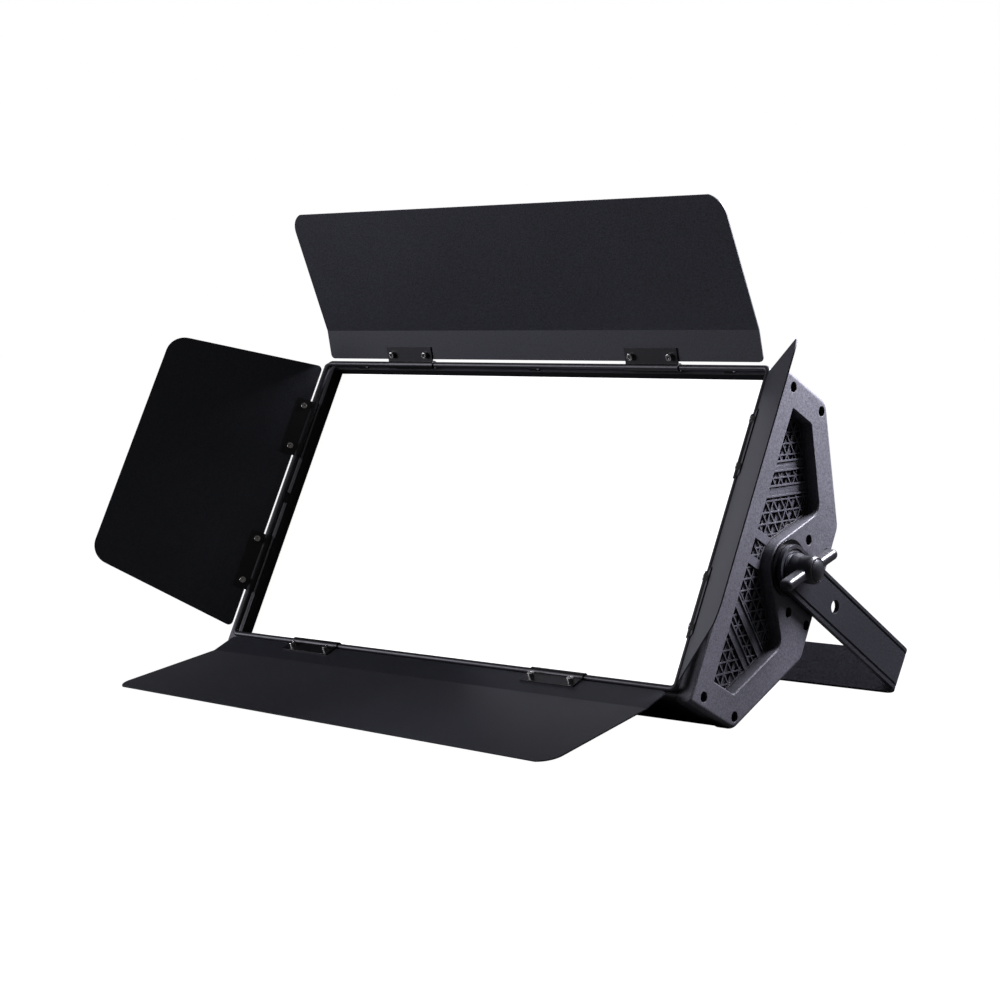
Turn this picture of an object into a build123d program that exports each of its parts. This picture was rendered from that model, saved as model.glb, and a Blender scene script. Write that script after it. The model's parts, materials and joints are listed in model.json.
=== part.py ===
from build123d import *
import math
import os

# LED soft panel light with a four-leaf barndoor, a tilting yoke and two wing knobs.
# The housing is drawn upright: x to the right, y back from the barndoor rods, z up the
# face, with the face looking along -y. The last section tilts it back onto the floor.

# ---- driving dimensions, mm and degrees ----
ROD_SPAN_X = 600.0          # barndoor rods, centre to centre
ROD_SPAN_Z = 327.7
FACE_RISE = 2.7             # rods and light opening sit this far above the side profile's middle
ROD_R = 3.0
ROD_CORNER_R = 5.5

PROFILE_FRONT = 6.4         # housing side profile, in y
PROFILE_SHOULDER = 83.7
PROFILE_BACK = 161.0
PROFILE_HALF_TALL = 171.0   # and in z
PROFILE_HALF_BACK = 70.5
CORNER_R = 16.0
EDGE_R = 5.0                # rounding of the side mouldings' outer edges
FRONT_EDGE_R = 1.5

CASING_HALF_WIDE = 299.5
SHEET = 2.0                 # folded casing wall
CHEEK_INNER = 299.7
CHEEK_OUTER = 315.7
END_PLATE = 3.0

PIVOT_Y = 96.0              # the yoke turns about x through here, at z = 0
BOSS_R = 29.0
STUD_R = 6.0
STUD_FIT = 0.05             # running clearance of the stud in the tapped block

FACE_HALF_X = 296.9         # light opening
FACE_HALF_Z = 160.8
DIFFUSER_Y = 20.1
HOLDER_Y = (6.5, 8.0)       # barndoor flange, flat on the bezel

YOKE_WIDTH = 45.8
YOKE_THICK = 5.0
YOKE_INNER = 318.4
YOKE_LENGTH = 243.0         # pivot to the outer face of the crossbar
YOKE_DROP = 4.5             # angle below the housing's own depth axis
YOKE_BEND_R = 18.0
ARM_HOLE_R = 7.0
ARM_HOLE_AT = 84.0
BAR_HOLE_R = 6.5
BAR_SIDE_HOLE_R = 5.5
BAR_SIDE_HOLE_X = 60.0

LEAF_THICK = 1.2
LEAF_GAP = 6.2              # rod centre line to the leaf's near edge
STRIP = 38.1                # rod centre line to the fold of a wide leaf
FOLD = 11.8
BOTTOM_TWIST = 2.1          # the bottom leaf's panel is a little twisted
PANEL = 139.9               # fold to the free edge
WIDE_HALF = 294.5
WIDE_HALF_FAR = 290.7
SIDE_REACH = 176.9          # rod centre line to the free edge of a side leaf
SIDE_HALF_NEAR = 157.9
SIDE_HALF_FAR = 134.0
FREE_CORNER_R = 22.0
NEAR_CORNER_R = 5.0

TOP_OPEN = 50.0             # leaf angles from straight ahead
BOTTOM_OPEN = 49.4
LEFT_OPEN = 41.5
RIGHT_OPEN = 42.8

HINGE_WIDE = 66.0
HINGE_REACH = 20.0
HINGE_SHEET = 1.3
HINGE_FIT = 0.06
HINGE_X = (-171.5, 160.0)   # hinge centres along the top rod; the bottom rod's are the same
HINGE_Z = (-81.0, 81.0)     # and along a side rod
SCREW_PITCH = 49.0
SCREW_AT = 11.3

PANEL_X = 105.0             # rear control panel half sizes
PANEL_Z = 42.0
BUTTON_R = 4.5
BUTTON_FIT = 0.3
BUTTON_X = (-2.0, 14.0, 30.0, 46.0)
BUTTON_Z = 18.0
SOCKET_X = (-75.0, -35.0)
SOCKET_Z = -16.0
INLET_X, FUSE_X = 20.0, 70.0


# ---- helpers ----
def block(x, y, z):
    """A box from three (low, high) pairs."""
    size = [high - low for low, high in (x, y, z)]
    middle = [(high + low) / 2 for low, high in (x, y, z)]
    return Pos(*middle) * Box(*size)


def rod_between(start, end, radius):
    """A round bar from one point to another."""
    span = Vector(*end) - Vector(*start)
    base = Plane(origin=start, z_dir=span.normalized())
    return extrude(base * Circle(radius), span.length)


def along_x(x, y, z, radius):
    """A round bar along x, from x[0] to x[1]."""
    return rod_between((x[0], y, z), (x[1], y, z), radius)


def along_y(x, y, z, radius):
    """A round bar along y, from y[0] to y[1]."""
    return rod_between((x, y[0], z), (x, y[1], z), radius)


def prism_x(outline, x):
    """A (y, z) outline carried along x, from x[0] to x[1]."""
    return extrude(Plane.YZ.offset(x[0]) * outline, x[1] - x[0])


def mirrored(shape):
    """The same shape on the other side of the middle plane."""
    return mirror(shape, Plane.YZ)


def group(shapes):
    """Several separate solids as one part."""
    return Compound(children=[solid for shape in shapes for solid in shape.solids()])


def rounded_polygon(points, radii):
    """A polygon whose corners are rounded; a radius of 0 leaves a corner sharp."""
    outline = Polygon(*points, align=None)
    for point, radius in zip(points, radii):
        if radius > 0:
            corner = outline.vertices().sort_by_distance(Vector(*point))[0]
            outline = fillet(corner, radius)
    return outline


# ---- side profile of the housing ----
SLANT = math.atan2(PROFILE_BACK - PROFILE_SHOULDER, PROFILE_HALF_TALL - PROFILE_HALF_BACK)


def profile(inset, front, corner):
    """The housing's side outline, moved in by inset, starting at y = front."""
    ny, nz = math.cos(SLANT), math.sin(SLANT)
    reach = ny * PROFILE_BACK + nz * PROFILE_HALF_BACK - inset
    tall, back = PROFILE_HALF_TALL - inset, PROFILE_BACK - inset
    shoulder = (reach - nz * tall) / ny
    half_back = (reach - ny * back) / nz
    points = [(front, tall), (front, -tall), (shoulder, -tall), (back, -half_back),
              (back, half_back), (shoulder, tall)]
    radii = [0.0, 0.0, corner, corner, corner, corner]
    return rounded_polygon(points, radii)


def window(inset):
    """The grille window in a cheek: two lobes joined in front of the pivot boss."""
    half = 140.0 - inset
    near, shoulder, far = 33.0 + inset, 68.5 - 0.5 * inset, 122.0 - inset
    waist = 76.0 - inset
    points = [(near, half), (near, -half), (shoulder, -half), (far, -70.0), (waist, -21.0),
              (waist, 21.0), (far, 70.0), (shoulder, half)]
    outline = rounded_polygon(points, [2.0, 2.0, 4.0, 14.0, 0, 0, 14.0, 4.0])
    return outline - Pos(PIVOT_Y, 0) * Circle(BOSS_R + inset)


CHEEK_SCREWS = [(y, side * z) for y, z in ((24.1, 158.6), (78.7, 158.6), (116.8, 38.0), (151.6, 38.0))
                for side in (-1, 1)]
SCREW_HEAD_R, SCREW_HEAD_TALL, SCREW_SHANK_R = 4.2, 5.0, 2.5
COUNTERBORE_R, COUNTERBORE_DEEP = 5.2, 10.0


# ---- housing ----
def rear_casing():
    outer = prism_x(profile(1.0, DIFFUSER_Y, CORNER_R - 1), (-CASING_HALF_WIDE, CASING_HALF_WIDE))
    hollow = prism_x(profile(1.0 + SHEET, DIFFUSER_Y - 1, CORNER_R - 3), (-310, 310))
    shell = outer - hollow
    back = PROFILE_BACK - 1.0
    shell -= block((-PANEL_X + 8, PANEL_X - 8), (back - 5, back + 5), (-PANEL_Z + 8, PANEL_Z - 8))
    slot = extrude(Plane.XZ.offset(-back - 5) * SlotOverall(60, 5, rotation=90), 10)
    for side in (-1, 1):
        for column in range(9):
            shell -= Pos(side * (130 + 16 * column), 0, 0) * slot
    return shell


def end_plate():
    """Right-hand end wall inside the casing, open behind the grille."""
    edge = (CASING_HALF_WIDE - END_PLATE, CASING_HALF_WIDE)
    plate = prism_x(profile(3.2, DIFFUSER_Y + 0.1, CORNER_R - 4), edge)
    plate -= prism_x(window(4.0), (edge[0] - 1, edge[1] + 1))
    plate -= along_x((edge[0] - 1, edge[1] + 1), PIVOT_Y, 0, STUD_R + 0.5)
    for y, z in CHEEK_SCREWS:
        if y > 30:
            plate -= along_x((edge[0] - 1, edge[1] + 1), y, z, SCREW_SHANK_R + 0.05)
    return plate


def cheek():
    """Right-hand side moulding with its window, boss and counterbored screw holes."""
    shell = prism_x(profile(0.0, PROFILE_FRONT, CORNER_R), (CHEEK_INNER, CHEEK_OUTER))
    outer_edges = shell.edges().filter_by_position(Axis.X, CHEEK_OUTER - 0.01, CHEEK_OUTER + 0.01)
    front = outer_edges.sort_by(Axis.Y)[0]
    shell = fillet([edge for edge in outer_edges if edge != front], EDGE_R)
    front = shell.edges().filter_by_position(Axis.X, CHEEK_OUTER - 0.01, CHEEK_OUTER + 0.01).sort_by(Axis.Y)[0]
    shell = chamfer(front, FRONT_EDGE_R)
    shell -= prism_x(window(0.0), (CHEEK_INNER - 1, CHEEK_OUTER + 1))
    for step, inset in ((0.9, -0.45), (0.45, -0.9)):
        shell -= prism_x(window(inset), (CHEEK_OUTER - step, CHEEK_OUTER + 1))
    shell -= along_x((CHEEK_INNER - 1, CHEEK_OUTER + 1), PIVOT_Y, 0, STUD_R + 0.5)
    for y, z in CHEEK_SCREWS:
        shell -= along_x((CHEEK_INNER - 1, CHEEK_OUTER + 1), y, z, SCREW_SHANK_R + 0.2)
        shell -= along_x((CHEEK_OUTER - COUNTERBORE_DEEP, CHEEK_OUTER + 1), y, z, COUNTERBORE_R)
    return shell


def cheek_screws():
    """Socket-head screws at the bottom of the counterbores, both sides."""
    seat = CHEEK_OUTER - COUNTERBORE_DEEP
    screws = []
    for y, z in CHEEK_SCREWS:
        inner = CASING_HALF_WIDE - END_PLATE if y > 30 else CHEEK_INNER
        screw = along_x((seat, seat + SCREW_HEAD_TALL), y, z, SCREW_HEAD_R)
        screw += along_x((inner, seat), y, z, SCREW_SHANK_R)
        hexagon = Pos(y, z) * RegularPolygon(2.3, 6)
        screw -= prism_x(hexagon, (seat + 2.5, seat + SCREW_HEAD_TALL + 1))
        screws += [screw, mirrored(screw)]
    return group(screws)


GRILLE_FACE = CHEEK_OUTER - 12.4
GRILLE_SLOPE = 28.5         # slope of the ribs and bands, degrees
RIB_PITCH = 12.2            # up the window
RIB_WIDE = 1.4
POST_AT, POST_PITCH = 61.5, 22.4
BANDS = ((86.2, 9.0), (59.3, 9.8))      # where each band's middle crosses y = 50, and its width
ZONES = ((99.6, 93.0, 150.0), (71.5, 66.0, 80.0), (55.2, 0.0, 52.0))


def sloping(y, z, width, side, slope=1):
    """A straight strip through (y, z), rising away from the front in the upper lobe."""
    strip = Pos(y, FACE_RISE + side * (z - FACE_RISE))
    return strip * Rot(Z=side * slope * GRILLE_SLOPE) * Rectangle(260, width)


def grille():
    """Right-hand grille: slats up the window, a triangular net of ribs, and sloping bands."""
    back = (CHEEK_INNER + 0.1, GRILLE_FACE - 1.9)
    face = (GRILLE_FACE - 2.0, GRILLE_FACE - 0.6)
    opening = window(0.3)
    body = prism_x(opening - window(2.3), (back[0], GRILLE_FACE))
    slats = Sketch()
    for column in range(10):
        slats += Pos(37.0 + 9.5 * column, 0) * Rectangle(4.4, 300)
    body += prism_x(slats & opening, back)
    for side in (-1, 1):
        half = Pos(75, FACE_RISE + side * 75.2) * Rectangle(120, 150.3)
        ribs = Sketch()
        for row in range(-4, 14):
            ribs += sloping(POST_AT, 6.4 + RIB_PITCH * row, RIB_WIDE, side)
            ribs += sloping(POST_AT, 6.4 + RIB_PITCH * row, RIB_WIDE, side, -1)
        for column in range(-1, 3):
            ribs += Pos(POST_AT + POST_PITCH * column, 0) * Rectangle(RIB_WIDE, 300)
        body += prism_x(ribs & half & opening, face)
        for middle, width in BANDS:
            body += prism_x(sloping(50, middle, width, side) & half & opening, (back[0], GRILLE_FACE - 0.7))
            for edge in (-1, 1):
                border = middle + edge * (width / 2) / math.cos(math.radians(GRILLE_SLOPE))
                body += prism_x(sloping(50, border, 1.8, side) & half & opening, (back[0], GRILLE_FACE + 0.5))
        bar = Pos(50, FACE_RISE + side * 13.0) * Rectangle(60, 9)
        body += prism_x(bar & opening, (back[0], GRILLE_FACE + 0.5))
    return body


def front_bezel():
    """The frame round the light opening, from the flange back to the diffuser."""
    half_z = PROFILE_HALF_TALL - 1.0
    ring = block((-299.4, 299.4), (HOLDER_Y[1], DIFFUSER_Y), (-half_z, half_z))
    return ring - light_opening(0.0)


def light_opening(margin):
    """The light opening, wider all round by a margin, cut right through the front."""
    half_x, half_z = FACE_HALF_X + margin, FACE_HALF_Z + margin
    return block((-half_x, half_x), (0, 40), (FACE_RISE - half_z, FACE_RISE + half_z))


def diffuser_panel():
    return block((-296.2, 296.2), (DIFFUSER_Y, DIFFUSER_Y + 3), (FACE_RISE - 162.5, FACE_RISE + 162.5))


TRAY_Y = (DIFFUSER_Y + 3.0, 60.0)
BOARD_HALF = (286.0, 148.0)


def reflector_tray():
    """White walls between the diffuser and the emitter board."""
    outer = block((-288, 288), TRAY_Y, (-150, 150))
    return outer - block((-287, 287), (0, 90), (-149, 149))


def led_board():
    return block((-BOARD_HALF[0], BOARD_HALF[0]), (58.0, 60.0), (-BOARD_HALF[1], BOARD_HALF[1]))


def led_emitters():
    chips = []
    for column in range(12):
        for row in range(6):
            x, z = -253.0 + 46.0 * column, -115.0 + 46.0 * row
            chips.append(block((x - 3.5, x + 3.5), (56.8, 58.0), (z - 3.5, z + 3.5)))
    return group(chips)


def heat_sink():
    base = block((-275, 275), (60.0, 64.0), (-140, 140))
    for fin in range(23):
        x = -264.0 + 24.0 * fin
        base += block((x - 1, x + 1), (64.0, 84.0), (-138, 138))
    return base


def mounting_tray():
    """Shelf behind the fins that carries the power supply and the driver."""
    tray = block((-270, 270), (88.0, 89.5), (-88, 88))
    for x in (-262, 262):
        tray += block((x - 8, x + 8), (84.0, 88.0), (-88, 88))
    return tray


def power_supply():
    box = block((-255, -125), (89.5, 131), (-46, 46))
    vents = [Pos(-190 + 12 * n, 131, 0) * Box(4, 4, 60) for n in range(-4, 5)]
    for vent in vents:
        box -= vent
    return box


def driver_module():
    board = block((125, 255), (93.5, 95.1), (-44, 44))
    for x, z, size, tall in ((150, 20, 22, 20), (180, -18, 26, 16), (215, 18, 18, 24), (235, -20, 16, 14)):
        board += block((x - size / 2, x + size / 2), (95.1, 95.1 + tall), (z - size / 2, z + size / 2))
    for x in (131, 249):
        for z in (-38, 38):
            board += along_y(x, (89.5, 93.5), z, 3.0)
    return board


BACK = PROFILE_BACK - 1.0
PLATE_OUT = BACK + 2.0


def control_board():
    board = block((-92, 92), (143.0, 144.6), (8, 33))
    return board + block((-80, -30), (144.6, 150), (10, 31))


def control_panel():
    """Rear plate that holds the menu, the data sockets, the inlet and the fuse."""
    plate = block((-PANEL_X, PANEL_X), (BACK, PLATE_OUT), (-PANEL_Z, PANEL_Z))
    plate -= block((-80, -30), (BACK - 1, PLATE_OUT + 1), (9, 30))
    for x in BUTTON_X:
        plate -= along_y(x, (BACK - 1, PLATE_OUT + 1), BUTTON_Z, BUTTON_R + BUTTON_FIT)
    for x in SOCKET_X:
        plate -= along_y(x, (BACK - 1, PLATE_OUT + 1), SOCKET_Z, 11.8)
    plate -= block((INLET_X - 14.2, INLET_X + 14.2), (BACK - 1, PLATE_OUT + 1), (SOCKET_Z - 10.2, SOCKET_Z + 10.2))
    plate -= along_y(FUSE_X, (BACK - 1, PLATE_OUT + 1), SOCKET_Z, 6.3)
    return plate


def control_panel_screws():
    screws = []
    for x in (-PANEL_X + 4, 0, PANEL_X - 4):
        for z in (-PANEL_Z + 4, PANEL_Z - 4):
            screw = along_y(x, (PLATE_OUT, PLATE_OUT + 1.8), z, 2.9)
            screw -= block((x - 2, x + 2), (PLATE_OUT + 1, PLATE_OUT + 3), (z - 0.4, z + 0.4))
            screws.append(screw)
    return group(screws)


def display_window():
    pane = block((-79.8, -30.2), (BACK, PLATE_OUT + 0.6), (9.2, 29.8))
    return fillet(pane.edges().filter_by(Axis.Y), 1.5)


def menu_button(x):
    """A round menu key with a collar behind the plate."""
    key = along_y(x, (BACK - 1.5, PLATE_OUT + 1.8), BUTTON_Z, BUTTON_R)
    key += along_y(x, (BACK - 3.5, BACK - 1.5), BUTTON_Z, BUTTON_R + 1.2)
    rim = key.faces().sort_by(Axis.Y)[-1].edges()
    return fillet(rim, 0.6)


CUP_R, CUP_DEEP = 7.6, 9.0


def data_sockets():
    """Two round panel sockets: a square flange and a cup."""
    sockets = []
    for x in SOCKET_X:
        socket = block((x - 13, x + 13), (PLATE_OUT, PLATE_OUT + 1.6), (SOCKET_Z - 15, SOCKET_Z + 15))
        socket += along_y(x, (138, PLATE_OUT + 1.6), SOCKET_Z, 11.5)
        socket -= along_y(x, (PLATE_OUT + 1.6 - CUP_DEEP, PLATE_OUT + 3), SOCKET_Z, CUP_R)
        sockets.append(socket)
    return group(sockets)


INLET_POCKET = ((INLET_X - 11.5, INLET_X + 11.5), (146.0, PLATE_OUT + 2.2), (SOCKET_Z - 7.5, SOCKET_Z + 7.5))


def power_inlet():
    """Mains inlet: flange and pocket."""
    x, z = INLET_X, SOCKET_Z
    inlet = block((x - 17, x + 17), (PLATE_OUT, PLATE_OUT + 2.2), (z - 13, z + 13))
    inlet += block((x - 14, x + 14), (136, PLATE_OUT), (z - 10, z + 10))
    inlet -= block(*[(low, high + (1 if axis == 1 else 0)) for axis, (low, high) in enumerate(INLET_POCKET)])
    return inlet


def socket_pins():
    """The inlet's three flat pins and the data sockets' round ones."""
    pins = []
    for px, pz in ((-6, -1.5), (6, -1.5), (0, 2.5)):
        x, z = INLET_X + px, SOCKET_Z + pz
        pins.append(block((x - 1, x + 1), (146.0, 157), (z - 2, z + 2)))
    for socket_x in SOCKET_X:
        for turn in (0, 90, 180):
            px = socket_x + 3.6 * math.cos(math.radians(turn))
            pz = SOCKET_Z + 3.6 * math.sin(math.radians(turn))
            cup_floor = PLATE_OUT + 1.6 - CUP_DEEP
            pins.append(along_y(px, (cup_floor, cup_floor + 6), pz, 1.1))
    return group(pins)


def fuse_holder():
    holder = along_y(FUSE_X, (132, PLATE_OUT), SOCKET_Z, 6.0)
    holder += along_y(FUSE_X, (PLATE_OUT, PLATE_OUT + 7), SOCKET_Z, 8.0)
    return holder - block((FUSE_X - 6, FUSE_X + 6), (PLATE_OUT + 5.5, PLATE_OUT + 8), (SOCKET_Z - 0.8, SOCKET_Z + 0.8))


EYE_Y, EYE_Z, EYE_R = 175.3, 54.0, 6.0


def safety_eye():
    """Ring on the back for a safety bond."""
    foot = block((-16, 16), (BACK, BACK + 3), (46, 62))
    ear = along_x((-2.5, 2.5), EYE_Y, EYE_Z, 11.0)
    ear += block((-2.5, 2.5), (BACK, EYE_Y), (EYE_Z - 8, EYE_Z + 8))
    ear -= along_x((-5, 5), EYE_Y, EYE_Z, EYE_R)
    return foot + ear


def pivot_block():
    """Tapped steel block behind the right-hand end wall."""
    inner = CASING_HALF_WIDE - END_PLATE
    steel = block((inner - 12, inner), (PIVOT_Y - 8.4, PIVOT_Y + 26), (-26, 26))
    return steel - along_x((inner - 20, inner + 5), PIVOT_Y, 0, STUD_R + STUD_FIT)


DISC = (CHEEK_OUTER, YOKE_INNER - 0.2)


def friction_discs():
    """Discs between the cheeks and the arms."""
    disc = along_x(DISC, PIVOT_Y, 0, BOSS_R - 1.0)
    disc -= along_x((DISC[0] - 1, DISC[1] + 1), PIVOT_Y, 0, STUD_R + 0.5)
    return group([disc, mirrored(disc)])


# ---- barndoor frame on the housing ----
def rod_frame():
    """One round bar bent into a rectangle."""
    path = Plane.XZ * RectangleRounded(ROD_SPAN_X, ROD_SPAN_Z, ROD_CORNER_R)
    wire = path.face().outer_wire()
    start = wire @ 0
    frame = sweep(Plane(origin=start, z_dir=wire % 0) * Circle(ROD_R), wire)
    return Pos(0, 0, FACE_RISE) * frame


def barndoor_holder():
    """Flat flange that carries the rod frame on the bezel."""
    outer = Plane.XZ.offset(-HOLDER_Y[1]) * RectangleRounded(599.0, ROD_SPAN_Z + 3, 4)
    return Pos(0, 0, FACE_RISE) * extrude(outer, HOLDER_Y[1] - HOLDER_Y[0]) - light_opening(0.4)


CLIP_WIDE = 12.0


def clip(span, outer):
    """A small block welded between the rod and the flange, out as far as outer."""
    half = CLIP_WIDE / 2
    foot = block((-half, half), (1.0, HOLDER_Y[0]), (span - 2.6, outer))
    return foot - along_x((-half - 1, half + 1), 0, span, ROD_R + 0.02)


def rod_clips():
    """Blocks that hold the rod frame to its flange, clear of the leaf hinges."""
    top = clip(ROD_SPAN_Z / 2, ROD_SPAN_Z / 2 + 1.2)
    side = clip(ROD_SPAN_X / 2, CHEEK_INNER - 0.2)
    clips = []
    for x in (-250, 0, 250):
        clips += [Pos(x, 0, 0) * top, (Pos(x, 0, 0) * top).rotate(Axis.Y, 180)]
    clips += [side.rotate(Axis.Y, 90), side.rotate(Axis.Y, -90)]
    return Pos(0, 0, FACE_RISE) * group(clips)


# ---- leaves ----
# A leaf is drawn standing up from its rod: the rod is the x axis, the leaf rises along z
# and its lit side looks along -y.
def leaf_section(x, fold):
    """Cross-section of a wide leaf at x: the strip at the rod and the folded panel."""
    t = LEAF_THICK / 2
    lean = math.radians(fold)
    tip_y, tip_z = -PANEL * math.sin(lean), STRIP + PANEL * math.cos(lean)
    points = [(-t, LEAF_GAP), (t, LEAF_GAP), (t, STRIP), (tip_y + t, tip_z), (tip_y - t, tip_z), (-t, STRIP)]
    return Plane.YZ.offset(x) * Polygon(*points, align=None)


def wide_leaf(twist):
    """Top or bottom leaf: a strip at the rod, a fold, and a panel with round corners."""
    ends = [leaf_section(-WIDE_HALF, FOLD - twist), leaf_section(WIDE_HALF, FOLD + twist)]
    sheet = loft(ends, ruled=True)
    tip_z = STRIP + PANEL * math.cos(math.radians(FOLD - twist)) + 1
    corners = [(-WIDE_HALF, LEAF_GAP), (WIDE_HALF, LEAF_GAP), (WIDE_HALF_FAR, tip_z), (-WIDE_HALF_FAR, tip_z)]
    radii = [NEAR_CORNER_R, NEAR_CORNER_R, FREE_CORNER_R, FREE_CORNER_R]
    outline = rounded_polygon(corners, radii)
    return sheet & extrude(Plane.XZ.offset(-10) * outline, 70)


def side_leaf():
    """Left or right leaf: a flat trapezium."""
    corners = [(-SIDE_HALF_NEAR, LEAF_GAP), (SIDE_HALF_NEAR, LEAF_GAP),
               (SIDE_HALF_FAR, SIDE_REACH), (-SIDE_HALF_FAR, SIDE_REACH)]
    radii = [NEAR_CORNER_R, NEAR_CORNER_R, FREE_CORNER_R, FREE_CORNER_R]
    outline = rounded_polygon(corners, radii)
    return extrude(Plane.XZ.offset(-LEAF_THICK / 2) * outline, LEAF_THICK)


def hinge_bolts(x_mid):
    return [x_mid - SCREW_PITCH / 2, x_mid + SCREW_PITCH / 2]


LEAF_HOLE_R = 2.2
PLATE_Y = (-LEAF_THICK / 2 - HINGE_SHEET, -LEAF_THICK / 2)


def drilled(leaf, hinges):
    """The leaf with the screw holes of its two hinges."""
    for middle in hinges:
        for x in hinge_bolts(middle):
            leaf -= along_y(x, (-5, 5), SCREW_AT, LEAF_HOLE_R)
    return leaf


def hinge_plate(x_mid):
    """Sheet hinge: a barrel round the rod and a plate on the leaf's lit side."""
    span = (x_mid - HINGE_WIDE / 2, x_mid + HINGE_WIDE / 2)
    plate = block(span, PLATE_Y, (1.0, HINGE_REACH))
    plate += along_x(span, 0, 0, ROD_R + HINGE_FIT + HINGE_SHEET)
    plate -= along_x((span[0] - 1, span[1] + 1), 0, 0, ROD_R + HINGE_FIT)
    for x in hinge_bolts(x_mid):
        plate -= along_y(x, (-6, -0.3), SCREW_AT, LEAF_HOLE_R)
    return plate


def hinge_screw(x):
    """Socket-head screw on the lit side."""
    head = along_y(x, (PLATE_Y[0] - 4.0, PLATE_Y[0]), SCREW_AT, 3.5)
    head = fillet(head.faces().sort_by(Axis.Y)[0].edges(), 0.4)
    head -= extrude(Plane.XZ.offset(-PLATE_Y[0] + 2.0) * Pos(x, SCREW_AT) * RegularPolygon(1.7, 6), 3)
    return head + along_y(x, (PLATE_Y[0], 4.4), SCREW_AT, 2.0)


def hinge_nut(x):
    """Hexagon nut on the outer side."""
    nut = extrude(Plane.XZ.offset(-LEAF_THICK / 2 - 3.0) * Pos(x, SCREW_AT) * RegularPolygon(4.04, 6), 3.0)
    return nut - along_y(x, (0, 6), SCREW_AT, 2.05)


def leaf_parts(sheet, hinges):
    """The four nodes of one leaf: the sheet, its hinges, its screws and its nuts."""
    bolts = [x for middle in hinges for x in hinge_bolts(middle)]
    return {
        "leaf": drilled(sheet, hinges),
        "hinges": group([hinge_plate(middle) for middle in hinges]),
        "hinge_screws": group([hinge_screw(x) for x in bolts]),
        "hinge_nuts": group([hinge_nut(x) for x in bolts]),
    }


TOP_ROD, BOTTOM_ROD = FACE_RISE + ROD_SPAN_Z / 2, FACE_RISE - ROD_SPAN_Z / 2
SIDES = {
    "top": (0, Axis.X, 1, TOP_OPEN, (0, 0, TOP_ROD)),
    "bottom": (180, Axis.X, -1, BOTTOM_OPEN, (0, 0, BOTTOM_ROD)),
    "left": (-90, Axis.Z, 1, LEFT_OPEN, (-ROD_SPAN_X / 2, 0, FACE_RISE)),
    "right": (90, Axis.Z, -1, RIGHT_OPEN, (ROD_SPAN_X / 2, 0, FACE_RISE)),
}


def hung(shape, side):
    """A leaf piece turned to its side of the frame and opened to its angle."""
    turn, axis, sign, opened, at = SIDES[side]
    return Pos(*at) * shape.rotate(Axis.Y, turn).rotate(axis, sign * (90 - opened))


# ---- yoke and knobs, drawn with the pivot at the origin and the arms along y ----
def arm_outline(inset):
    """Arm in side view: a round end at the pivot, open past the crossbar."""
    half = YOKE_WIDTH / 2 - inset
    return Circle(half) + Pos(YOKE_LENGTH / 2 + 10, 0) * Rectangle(YOKE_LENGTH + 20, 2 * half)


GROOVE_FROM, GROOVE_WIDE, GROOVE_DEEP = 3.4, 2.6, 1.2


def yoke_outline(inset):
    """The outer line of the U in plan, moved in by inset."""
    x, y, bend = YOKE_INNER + YOKE_THICK - inset, YOKE_LENGTH - inset, YOKE_BEND_R - inset
    return rounded_polygon([(-x, -60), (x, -60), (x, y), (-x, y)], [0, 0, bend, bend])


def yoke_bracket():
    """Flat bar bent into a U, with a groove pressed along both edges of its outer side."""
    outer_x, long_y = YOKE_INNER + YOKE_THICK, YOKE_LENGTH
    half = YOKE_WIDTH / 2
    bar = extrude(Plane.XY.offset(-half) * (yoke_outline(0) - yoke_outline(YOKE_THICK)), YOKE_WIDTH)
    bar = bar & prism_x(arm_outline(0), (-outer_x - 5, outer_x + 5))
    ring = (yoke_outline(-1) - yoke_outline(GROOVE_DEEP)) & Pos(0, 200) * Rectangle(800, 400)
    for low in (half - GROOVE_FROM - GROOVE_WIDE, GROOVE_FROM - half):
        bar -= extrude(Plane.XY.offset(low) * ring, GROOVE_WIDE)
    bow = Circle(half - GROOVE_FROM) - Circle(half - GROOVE_FROM - GROOVE_WIDE)
    bow = bow & Pos(-50, 0) * Rectangle(100, 100)
    bar -= prism_x(bow, (outer_x - GROOVE_DEEP, outer_x + 1))
    bar -= prism_x(bow, (-outer_x - 1, -outer_x + GROOVE_DEEP))
    bar -= along_x((-400, 400), 0, 0, STUD_R + 0.5)
    bar -= along_x((-400, 400), ARM_HOLE_AT, 0, ARM_HOLE_R)
    bar -= along_y(0, (long_y - 10, long_y + 5), 0, BAR_HOLE_R)
    for x in (-BAR_SIDE_HOLE_X, BAR_SIDE_HOLE_X):
        bar -= along_y(x, (long_y - 10, long_y + 5), 0, BAR_SIDE_HOLE_R)
    return bar


YOKE_OUTER = YOKE_INNER + YOKE_THICK
WASHER = (YOKE_OUTER, YOKE_OUTER + 1.6)
KNOB_BASE = WASHER[1] + 0.2
KNOB_TOP = KNOB_BASE + 24.6
WING_TURN = 49.0            # the wings' slope in side view
WING_REACH = 44.0
CAP_R = 10.2


def arm_washers():
    """Plain washers between the arms and their knobs."""
    washer = along_x(WASHER, 0, 0, 14.0) - along_x((300, 340), 0, 0, STUD_R + 0.4)
    return group([washer, mirrored(washer)])


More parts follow.
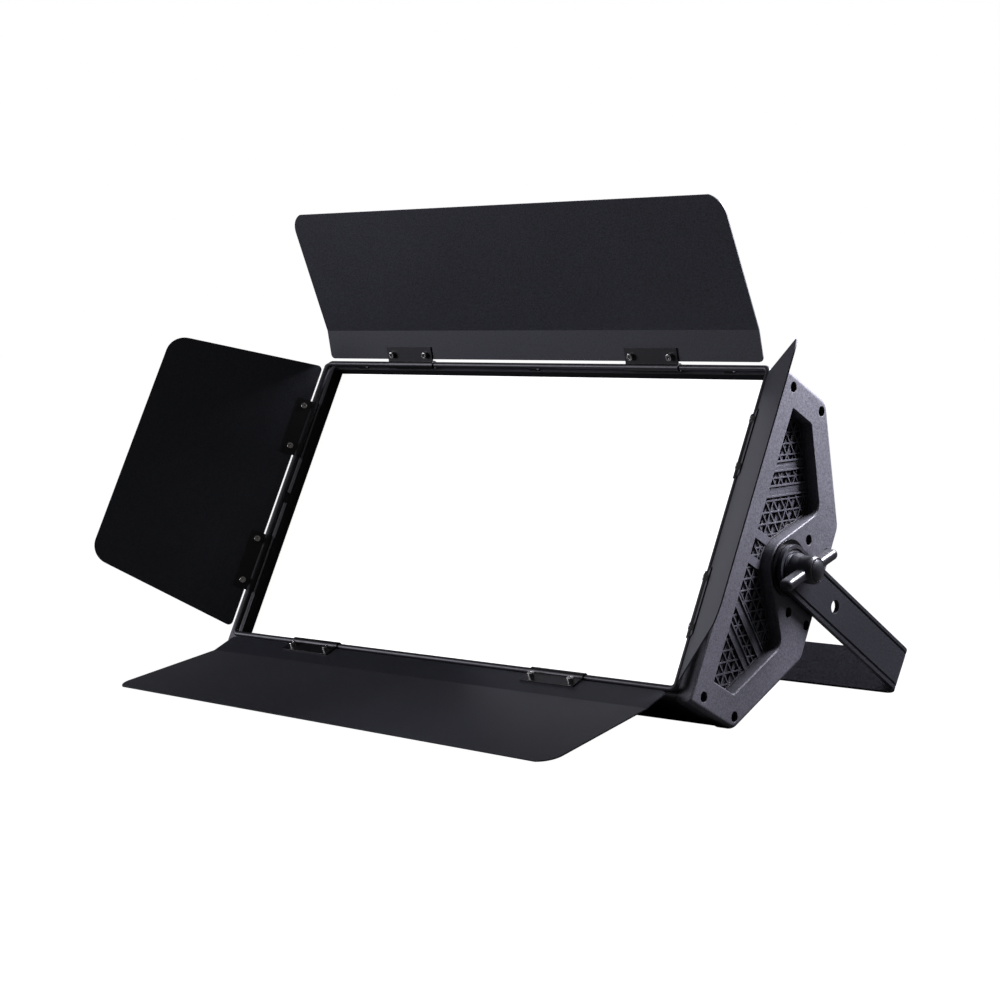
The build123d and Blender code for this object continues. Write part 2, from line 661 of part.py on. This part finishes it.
def wing_knob():
    """Right-hand wing knob: a waisted hub and two round-ended wings."""
    turned = [(0, 0), (15.5, 0), (15.5, 3), (13.0, 9), (14.0, 17), (14.0, 21.6), (12.2, 24.6), (0, 24.6)]
    hub = revolve(Plane.XZ * Polygon(*turned, align=None), Axis.Z)
    hub = Pos(KNOB_BASE, 0, 0) * hub.rotate(Axis.Y, 90)
    wings = SlotOverall(2 * WING_REACH, 10.4)
    wings = prism_x(wings, (KNOB_BASE + 9.5, KNOB_BASE + 21.5))
    wings = fillet(wings.faces().sort_by(Axis.X)[-1].edges(), 4.5)
    knob = hub + wings
    knob -= along_x((KNOB_BASE - 1, KNOB_BASE + 17), 0, 0, STUD_R)
    knob -= along_x((KNOB_TOP - 2.0, KNOB_TOP + 1), 0, 0, CAP_R + 0.1)
    return knob.rotate(Axis.X, WING_TURN)


def knob_stud():
    """Threaded stud, fast in the knob."""
    return along_x((CASING_HALF_WIDE - END_PLATE - 14, KNOB_BASE + 17), 0, 0, STUD_R)


def knob_cap():
    """Domed cap in the knob's top."""
    base, top, ball = KNOB_TOP - 2.0, KNOB_TOP + 3.4, 18.0
    edge = top - ball + math.sqrt(ball ** 2 - CAP_R ** 2)
    dome = ThreePointArc((edge, CAP_R), (top - ball + ball * math.cos(0.3), ball * math.sin(0.3)), (top, 0))
    outline = make_face([Polyline((top, 0), (base, 0), (base, CAP_R), (edge, CAP_R)), dome])
    return revolve(outline, Axis.X)


def on_yoke(shape):
    """A yoke piece dropped to its angle and carried to the pivot."""
    return Pos(0, PIVOT_Y, 0) * shape.rotate(Axis.X, -YOKE_DROP)


# ---- every node, in the upright housing frame ----
nodes = {
    "rear_casing": rear_casing(),
    "right_end_plate": end_plate(),
    "right_cheek": cheek(),
    "right_grille": grille(),
    "cheek_screws": cheek_screws(),
    "front_bezel": front_bezel(),
    "diffuser_panel": diffuser_panel(),
    "reflector_tray": reflector_tray(),
    "led_board": led_board(),
    "led_emitters": led_emitters(),
    "heat_sink": heat_sink(),
    "mounting_tray": mounting_tray(),
    "power_supply": power_supply(),
    "driver_module": driver_module(),
    "control_board": control_board(),
    "control_panel": control_panel(),
    "control_panel_screws": control_panel_screws(),
    "display_window": display_window(),
    "data_sockets": data_sockets(),
    "power_inlet": power_inlet(),
    "socket_pins": socket_pins(),
    "fuse_holder": fuse_holder(),
    "safety_eye": safety_eye(),
    "right_pivot_block": pivot_block(),
    "friction_discs": friction_discs(),
    "rod_frame": rod_frame(),
    "barndoor_holder": barndoor_holder(),
    "rod_clips": rod_clips(),
    "yoke_bracket": on_yoke(yoke_bracket()),
    "arm_washers": on_yoke(arm_washers()),
    "right_wing_knob": on_yoke(wing_knob()),
    "right_knob_stud": on_yoke(knob_stud()),
    "right_knob_cap": on_yoke(knob_cap()),
}
for name in [name for name in nodes if name.startswith("right_")]:
    nodes[name.replace("right_", "left_")] = mirrored(nodes[name])
for number, x in enumerate(BUTTON_X, start=1):
    nodes[f"menu_button_{number}"] = menu_button(x)
sheets = {"top": wide_leaf(0.0), "bottom": wide_leaf(BOTTOM_TWIST), "left": side_leaf(), "right": side_leaf()}
hinge_rows = {"top": HINGE_X, "bottom": [-x for x in HINGE_X], "left": HINGE_Z, "right": HINGE_Z}
for side, sheet in sheets.items():
    for piece, shape in leaf_parts(sheet, hinge_rows[side]).items():
        nodes[f"{side}_{piece}"] = hung(shape, side)

# ---- stand it on the floor ----
# The housing leans back until the shoulders of its cheeks and the lower edge of the
# crossbar are level. The floor is under the low corner of the twisted leaf.
shoulder_turn = math.pi / 2 - SLANT
shoulder_y = PROFILE_SHOULDER - CORNER_R * math.tan(shoulder_turn / 2)
shoulder_z = PROFILE_HALF_TALL - CORNER_R
drop = math.radians(YOKE_DROP)
edge_y = PIVOT_Y + YOKE_LENGTH * math.cos(drop) - YOKE_WIDTH / 2 * math.sin(drop)
edge_z = -YOKE_LENGTH * math.sin(drop) - YOKE_WIDTH / 2 * math.cos(drop)
run, rise = edge_y - shoulder_y, edge_z + shoulder_z
lean = math.atan2(rise, run) + math.asin(CORNER_R / math.hypot(run, rise))
LEAN = math.degrees(lean)

leaned = {name: shape.rotate(Axis.X, -LEAN) for name, shape in nodes.items()}
front = min(shape.bounding_box().min.Y for shape in leaned.values())
rear = max(shape.bounding_box().max.Y for shape in leaned.values())
FLOOR = min(shape.bounding_box().min.Z for shape in leaned.values())
SHIFT = (0.0, -(front + rear) / 2, -FLOOR)

os.makedirs("parts", exist_ok=True)
for name, shape in leaned.items():
    export_step(Pos(*SHIFT) * shape, f"parts/{name}.step")
print(len(nodes), "nodes, leaning back", round(LEAN, 3), "degrees, shift", SHIFT)
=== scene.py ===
import json

import bmesh
import bpy
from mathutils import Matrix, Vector


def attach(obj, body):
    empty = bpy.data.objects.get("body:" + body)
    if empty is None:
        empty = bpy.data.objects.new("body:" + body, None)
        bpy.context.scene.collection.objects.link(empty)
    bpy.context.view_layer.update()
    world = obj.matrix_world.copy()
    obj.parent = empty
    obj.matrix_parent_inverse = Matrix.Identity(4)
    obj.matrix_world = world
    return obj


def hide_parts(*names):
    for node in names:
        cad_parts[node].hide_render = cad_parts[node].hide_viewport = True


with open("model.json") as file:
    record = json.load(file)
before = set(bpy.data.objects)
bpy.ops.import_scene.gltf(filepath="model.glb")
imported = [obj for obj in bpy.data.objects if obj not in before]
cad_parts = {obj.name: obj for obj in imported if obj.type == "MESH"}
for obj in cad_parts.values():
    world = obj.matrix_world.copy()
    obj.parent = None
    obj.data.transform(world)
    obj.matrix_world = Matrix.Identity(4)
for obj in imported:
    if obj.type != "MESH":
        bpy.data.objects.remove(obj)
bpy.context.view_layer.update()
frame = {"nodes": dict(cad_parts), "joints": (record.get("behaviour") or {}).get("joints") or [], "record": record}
NODES = frame["nodes"]
JOINTS = {joint["name"]: joint for joint in frame["joints"]}
SLOT = {part["node"]: part["material_slot"] for part in frame["record"]["subparts"]}
MM = 0.001
PIVOT_BACK = 96 * MM  # from the rods' plane back to the yoke's pivot
OPENING_BACK = 6 * MM  # the plane just in front of the light opening
GRILLE_BACK = 299.6 * MM  # from the middle out to the back of a grille

# ---- the housing's own directions, read from the joints ----
# The housing leans back. DEPTH runs back from the light opening and RISE up its face.
DEPTH = -Vector(JOINTS["button_1_press"]["axis"]).normalized()
RISE = Vector((1, 0, 0)).cross(DEPTH).normalized()
PIVOT = Vector(JOINTS["yoke_tilt"]["pos_m"])
RODS = PIVOT - PIVOT_BACK * DEPTH


# ---- material building blocks ----
def link(tree, source, target):
    tree.links.new(source, target)


def node(tree, kind, **settings):
    """A shader node; settings name its sockets or its own properties."""
    made = tree.nodes.new("ShaderNode" + kind)
    for name, value in settings.items():
        if name in made.inputs:
            made.inputs[name].default_value = value
        else:
            setattr(made, name, value)
    return made


def noise(tree, coords, scale, detail=2.0, roughness=0.5):
    made = node(tree, "TexNoise", Scale=scale, Detail=detail, Roughness=roughness)
    link(tree, coords.outputs["Object"], made.inputs["Vector"])
    return made


def ramp(tree, factor, stops):
    """A colour ramp through (position, grey or colour) stops."""
    made = tree.nodes.new("ShaderNodeValToRGB")
    elements = made.color_ramp.elements
    while len(elements) < len(stops):
        elements.new(0.5)
    for element, (position, colour) in zip(elements, stops):
        element.position = position
        if isinstance(colour, (int, float)):
            colour = (colour, colour, colour)
        element.color = (*colour, 1.0)
    link(tree, factor, made.inputs["Fac"])
    return made


def edge_mask(tree, radius, low=0.02, high=0.2):
    """White along sharp edges: how far a rounded normal turns from the true one."""
    rounded = node(tree, "Bevel", Radius=radius)
    rounded.samples = 4
    geometry = node(tree, "NewGeometry")
    dot = node(tree, "VectorMath", operation="DOT_PRODUCT")
    link(tree, rounded.outputs["Normal"], dot.inputs[0])
    link(tree, geometry.outputs["Normal"], dot.inputs[1])
    return ramp(tree, dot.outputs["Value"], [(1 - high, 1.0), (1 - low, 0.0)])


def shade(colour, factor):
    return tuple(min(1.0, channel * factor) for channel in colour)


def painted_recess_shade(tree, colour, reach, darkest):
    """The colour, darkened where nearby surfaces close in on it: painted shade in pockets and recesses."""
    closed = node(tree, "AmbientOcclusion", Distance=reach)
    closed.samples = 4
    level = ramp(tree, closed.outputs["AO"], [(0.42, darkest), (0.85, 1.0)])
    shaded = node(tree, "MixRGB", blend_type="MULTIPLY", Fac=1.0)
    link(tree, colour, shaded.inputs["Color1"])
    link(tree, level.outputs["Color"], shaded.inputs["Color2"])
    return shaded.outputs["Color"]


def coated(name, colour, rough=(0.45, 0.6), grain=800, depth=0.00006, mottle=0.15, edge=0.0004,
           edge_wear_and_highlight=1.3, specular=0.5, metallic=0.0, coat=0.0, speckle=0.4, sheen=0.0, painted_shade_reach=0.0):
    """Powder coat, moulded plastic or plain metal: grain, mottling, paler edges (part wear, part painted
    highlight), painted shade in pockets.
    """
    material = bpy.data.materials.new(name)
    material.use_nodes = True
    tree = material.node_tree
    shader = tree.nodes["Principled BSDF"]
    shader.inputs["Metallic"].default_value = metallic
    shader.inputs["Specular IOR Level"].default_value = specular
    shader.inputs["Coat Weight"].default_value = coat
    shader.inputs["Coat Roughness"].default_value = 0.12
    shader.inputs["Sheen Weight"].default_value = sheen
    shader.inputs["Sheen Roughness"].default_value = 0.25
    coords = node(tree, "TexCoord")
    broad = noise(tree, coords, 9.0, 3.0)
    fine = noise(tree, coords, grain, 2.0, 0.6)
    tones = [(0.3, shade(colour, 1 - mottle)), (0.7, shade(colour, 1 + mottle))]
    tone = ramp(tree, broad.outputs["Fac"], tones)
    grainy = node(tree, "MixRGB", blend_type="MULTIPLY", Fac=1.0)
    dots = ramp(tree, fine.outputs["Fac"], [(0.35, 1 - speckle), (0.65, 1 + speckle)])
    link(tree, tone.outputs["Color"], grainy.inputs["Color1"])
    link(tree, dots.outputs["Color"], grainy.inputs["Color2"])
    # Paler along sharp edges: part wear, part painted highlight where rounded edges catch light.
    worn_and_lit_edges = node(tree, "MixRGB")
    worn_and_lit_edges.inputs["Color2"].default_value = (*shade(colour, edge_wear_and_highlight), 1)
    mask = edge_mask(tree, edge)
    link(tree, mask.outputs["Color"], worn_and_lit_edges.inputs["Fac"])
    link(tree, grainy.outputs["Color"], worn_and_lit_edges.inputs["Color1"])
    colour_out = worn_and_lit_edges.outputs["Color"]
    # Painted shade: the colour darkens in pockets and recesses, where shade falls.
    if painted_shade_reach > 0:
        colour_out = painted_recess_shade(tree, colour_out, painted_shade_reach, 0.08)
    link(tree, colour_out, shader.inputs["Base Color"])
    gloss = ramp(tree, fine.outputs["Fac"], [(0.3, rough[0]), (0.7, rough[1])])
    link(tree, gloss.outputs["Color"], shader.inputs["Roughness"])
    rounded = node(tree, "Bevel", Radius=edge)
    rounded.samples = 4
    bump = node(tree, "Bump", Strength=0.6, Distance=depth)
    link(tree, fine.outputs["Fac"], bump.inputs["Height"])
    link(tree, rounded.outputs["Normal"], bump.inputs["Normal"])
    link(tree, bump.outputs["Normal"], shader.inputs["Normal"])
    return material


def glowing(name, colour, strength):
    """The opal diffuser: a very even glow that falls off slightly at random."""
    material = bpy.data.materials.new(name)
    material.use_nodes = True
    tree = material.node_tree
    shader = tree.nodes["Principled BSDF"]
    coords = node(tree, "TexCoord")
    broad = noise(tree, coords, 5.0)
    tone = ramp(tree, broad.outputs["Fac"], [(0.3, shade(colour, 0.985)), (0.7, colour)])
    link(tree, tone.outputs["Color"], shader.inputs["Base Color"])
    link(tree, tone.outputs["Color"], shader.inputs["Emission Color"])
    shader.inputs["Emission Strength"].default_value = strength
    shader.inputs["Roughness"].default_value = 0.55
    return material


FINISH = {
    "casing": coated("casing_powder_coat", (0.020, 0.0196, 0.024)),
    # The side moulding and the grille carry painted shade in their pockets.
    "side_moulding": coated("side_moulding_texture", (0.078, 0.076, 0.088), (0.45, 0.6), 620,
                            painted_shade_reach=0.02, edge_wear_and_highlight=1.8, edge=0.0007, speckle=0.35),
    "grille": coated("grille_texture", (0.075, 0.073, 0.088), (0.45, 0.6), edge=0.0002, painted_shade_reach=0.012),
    "screw": coated("black_oxide", (0.012, 0.012, 0.013), (0.3, 0.45), 2500, 0.00001),
    "diffuser": glowing("opal_diffuser", (0.98, 0.98, 0.97), 1.0),
    "reflector": coated("white_tray", (0.85, 0.85, 0.85), speckle=0.02, mottle=0.02, edge_wear_and_highlight=1.0),
    "circuit_board": coated("white_solder_mask", (0.75, 0.77, 0.74), (0.3, 0.4), speckle=0.03,
                            mottle=0.04, edge_wear_and_highlight=1.0),
    "emitter": coated("phosphor", (0.85, 0.72, 0.25), (0.3, 0.4), speckle=0.05, edge_wear_and_highlight=1.0),
    "heat_sink": coated("plain_extrusion", (0.55, 0.56, 0.58), (0.3, 0.42), metallic=1.0, edge_wear_and_highlight=1.1),
    "bare_sheet": coated("mill_sheet", (0.56, 0.57, 0.59), (0.3, 0.45), metallic=1.0, edge_wear_and_highlight=1.1),
    "window": coated("smoked_window", (0.01, 0.01, 0.012), (0.08, 0.14), 600, 0.000004, coat=0.6),
    "key": coated("rubber_key", (0.03, 0.03, 0.03), (0.55, 0.7), 1800),
    "socket": coated("black_nylon", (0.015, 0.015, 0.016), (0.25, 0.38), 1500, 0.00002),
    "steel": coated("zinc_plate", (0.50, 0.50, 0.52), (0.28, 0.42), 700, 0.00002, metallic=1.0),
    "disc": coated("smooth_nylon", (0.004, 0.004, 0.0045), (0.2, 0.3), 1500, 0.00001, specular=0.3),
    "barndoor_metal": coated("barndoor_powder_coat", (0.018, 0.0176, 0.0216), (0.35, 0.5)),
    # The yoke's paler edges are part wear, part painted highlight.
    "yoke_metal": coated("yoke_powder_coat", (0.014, 0.0137, 0.018), (0.4, 0.55), 600, 0.0001,
                         speckle=0.6, edge_wear_and_highlight=1.8),
    "knob": coated("satin_knob", (0.012, 0.012, 0.014), (0.3, 0.4), 900, 0.00001, edge=0.0006),
    "leaf_metal": coated("leaf_powder_coat", (0.0175, 0.0185, 0.0255), (0.48, 0.6), 700, 0.00014,
                         edge=0.0003, sheen=0.15, speckle=0.5),
    "hinge_metal": coated("hinge_black", (0.007, 0.007, 0.008), (0.35, 0.45), 1200, specular=0.4),
    "nickel": coated("nickel_plate", (0.62, 0.60, 0.57), (0.15, 0.28), 900, 0.00001, metallic=1.0),
}
for name, shape in NODES.items():
    shape.data.materials.clear()
    shape.data.materials.append(FINISH[SLOT[name]])

# The filter in front of the light is drawn as white; it throws no light on the leaves.
NODES["diffuser_panel"].visible_diffuse = False
NODES["diffuser_panel"].visible_glossy = False


# ---- cast wing knobs ----
def cast_knob(side):
    """The knob with its edges melted together, as a moulding has them."""
    source = NODES[f"{side}_wing_knob"]
    mesh = source.data.copy()
    mesh.name = f"{side}_knob_body"
    body = bpy.data.objects.new(f"{side}_knob_body", mesh)
    bpy.context.scene.collection.objects.link(body)
    melt = body.modifiers.new("melt", "REMESH")
    melt.mode = "VOXEL"
    melt.voxel_size = 0.0006
    melt.use_smooth_shade = True
    soften = body.modifiers.new("soften", "SMOOTH")
    soften.factor = 0.5
    soften.iterations = 10
    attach(body, f"{side}_knob")
    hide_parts(f"{side}_wing_knob")


for side in ("left", "right"):
    cast_knob(side)


# ---- black sheets behind the grilles: painted shade ----
def shade_sheet(side, sign):
    """A black sheet against the back of a grille, painted shade so that the inside doesn't show."""
    mesh = bpy.data.meshes.new(f"{side}_shade_sheet")
    build = bmesh.new()
    outline = ((29, -144), (29, 144), (72, 144), (126, 72), (80, 24), (80, -24), (126, -72), (72, -144))
    corners = []
    for back, up in outline:
        place = RODS + back * MM * DEPTH + up * MM * RISE
        corners.append(build.verts.new((sign * GRILLE_BACK, place.y, place.z)))
    build.faces.new(corners)
    bmesh.ops.triangulate(build, faces=build.faces)
    build.to_mesh(mesh)
    build.free()
    sheet = bpy.data.objects.new(f"{side}_shade_sheet", mesh)
    bpy.context.scene.collection.objects.link(sheet)
    mesh.materials.append(FINISH["socket"])
    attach(sheet, "housing")


for side, sign in (("left", -1), ("right", 1)):
    shade_sheet(side, sign)


# ---- floor, backdrop, lights, camera ----
def plain_floor():
    mesh = bpy.data.meshes.new("floor")
    build = bmesh.new()
    bmesh.ops.create_grid(build, x_segments=8, y_segments=8, size=30.0)
    build.to_mesh(mesh)
    build.free()
    floor = bpy.data.objects.new("floor", mesh)
    bpy.context.scene.collection.objects.link(floor)
    material = bpy.data.materials.new("pale_floor")
    material.use_nodes = True
    tree = material.node_tree
    shader = tree.nodes["Principled BSDF"]
    coords = node(tree, "TexCoord")
    tone = ramp(tree, noise(tree, coords, 3.0).outputs["Fac"], [(0.3, 0.03), (0.7, 0.04)])
    link(tree, tone.outputs["Color"], shader.inputs["Base Color"])
    shader.inputs["Roughness"].default_value = 0.9
    shader.inputs["Specular IOR Level"].default_value = 0.1
    path = node(tree, "LightPath")
    lift = node(tree, "Emission", Strength=1.0)
    seen = node(tree, "MixShader")
    both = node(tree, "AddShader")
    link(tree, shader.outputs["BSDF"], both.inputs[0])
    link(tree, lift.outputs["Emission"], both.inputs[1])
    link(tree, path.outputs["Is Camera Ray"], seen.inputs["Fac"])
    link(tree, shader.outputs["BSDF"], seen.inputs[1])
    link(tree, both.outputs["Shader"], seen.inputs[2])
    link(tree, seen.outputs["Shader"], tree.nodes["Material Output"].inputs["Surface"])
    mesh.materials.append(material)


def backdrop():
    """White behind the object, and a dim room for everything else."""
    world = bpy.data.worlds.new("studio")
    world.use_nodes = True
    tree = world.node_tree
    shader = tree.nodes["Background"]
    path = node(tree, "LightPath")
    level = node(tree, "MapRange")
    level.inputs["To Min"].default_value = 0.07
    level.inputs["To Max"].default_value = 1.0
    link(tree, path.outputs["Is Camera Ray"], level.inputs["Value"])
    link(tree, level.outputs["Result"], shader.inputs["Strength"])
    shader.inputs["Color"].default_value = (1, 1, 1, 1)
    bpy.context.scene.world = world


COOL = (0.88, 0.88, 1.0)


def softbox(name, place, aim, size, watts):
    """A rectangular studio light that the camera doesn't see."""
    data = bpy.data.lights.new(name, "AREA")
    data.shape = "RECTANGLE"
    data.size, data.size_y = size
    data.energy = watts
    data.color = COOL
    lamp = bpy.data.objects.new(name, data)
    lamp.location = place
    lamp.rotation_euler = (Vector(aim) - Vector(place)).to_track_quat("-Z", "Y").to_euler()
    lamp.visible_camera = False
    bpy.context.scene.collection.objects.link(lamp)


def camera():
    data = bpy.data.cameras.new("camera")
    data.lens = 82.11
    data.sensor_width = 36.0
    lens = bpy.data.objects.new("camera", data)
    place, aim = Vector((1.54996, -1.77125, 0.36957)), Vector((0.01054, -0.01686, 0.2025))
    lens.location = place
    lens.rotation_euler = (aim - place).to_track_quat("-Z", "Y").to_euler()
    bpy.context.scene.collection.objects.link(lens)
    bpy.context.scene.camera = lens


plain_floor()
backdrop()
softbox("right_high", (0.58, 0.50, 0.78), (0.3, 0.0, 0.3), (0.35, 0.35), 37)
softbox("left_front", (-1.9, -1.9, 0.6), (0.0, -0.1, 0.35), (1.4, 1.0), 47)
# The right half of the filter's glow, as the right leaf's inner face mirrors it.
FILTER = RODS + OPENING_BACK * DEPTH + Vector((0.15, 0, 0))
softbox("filter_glow", FILTER, FILTER - DEPTH, (0.26, 0.30), 0.14)
camera()
bpy.context.scene.view_settings.view_transform = "Standard"
